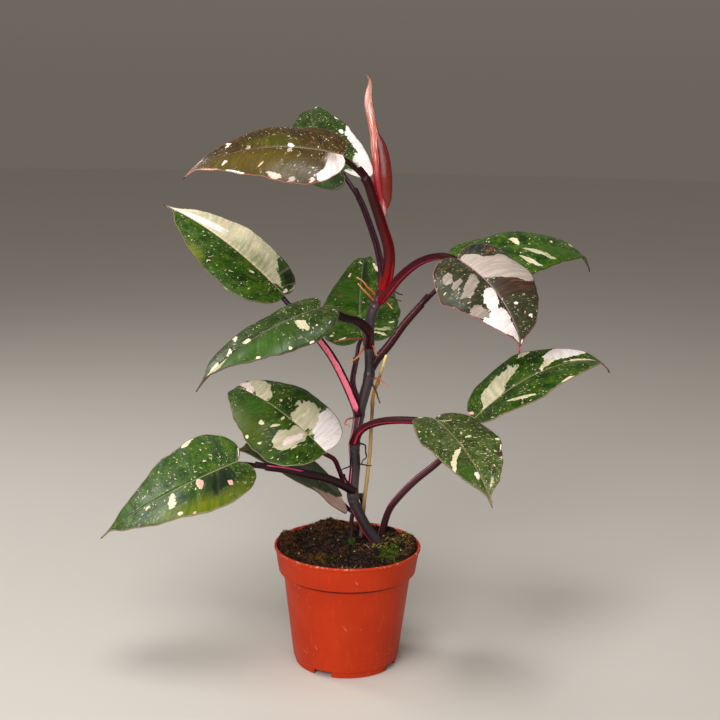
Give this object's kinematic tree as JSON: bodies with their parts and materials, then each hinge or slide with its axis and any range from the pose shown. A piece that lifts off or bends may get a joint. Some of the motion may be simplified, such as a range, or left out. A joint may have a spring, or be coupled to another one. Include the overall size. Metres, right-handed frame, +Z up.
{
  "type": "potted philodendron",
  "caption": "Climbing philodendron with marbled heart-shaped leaves on long dark red stalks, in a round tapered terracotta-coloured plastic nursery pot.",
  "frame": {"origin": "middle of the pot's underside, on the surface it stands on", "axes": "+Z up along the pot's axis; the plant's broad side is seen looking along +Y, with +X to the right"},
  "size_m": [0.4181, 0.2767, 0.475],
  "materials": {
    "pot_plastic": "satin, lightly scuffed",
    "potting_soil": "rough, moist peat with fibres",
    "stem_skin": "smooth, waxy",
    "stalk_skin": "smooth, waxy",
    "leaf_green": "glossy, marbled",
    "leaf_bronze": "glossy, marbled",
    "new_leaf_skin": "glossy",
    "root_skin": "matt"
  },
  "bodies": {
    "root": {"pot": "pot_plastic", "soil": "potting_soil", "main_stem": "stem_skin", "long_root": "root_skin", "new_leaf": "new_leaf_skin", "stalk_low_left": "stalk_skin", "stalk_low_back": "stalk_skin", "stalk_lower_left": "stalk_skin", "stalk_lower_right": "stalk_skin", "stalk_right": "stalk_skin", "stalk_upper_left": "stalk_skin", "stalk_middle_back": "stalk_skin", "stalk_upper_right_back": "stalk_skin", "stalk_middle_left": "stalk_skin", "stalk_upper_right": "stalk_skin", "stalk_top_front": "stalk_skin", "stalk_top_back": "stalk_skin", "leaf_low_left": "leaf_green", "leaf_low_back": "leaf_green", "leaf_lower_left": "leaf_green", "leaf_lower_right": "leaf_green", "leaf_right": "leaf_green", "leaf_upper_left": "leaf_green", "leaf_middle_back": "leaf_green", "leaf_upper_right_back": "leaf_green", "leaf_middle_left": "leaf_green", "leaf_upper_right": "leaf_bronze", "leaf_top_front": "leaf_bronze", "leaf_top_back": "leaf_green"}
  },
  "joints": []
}
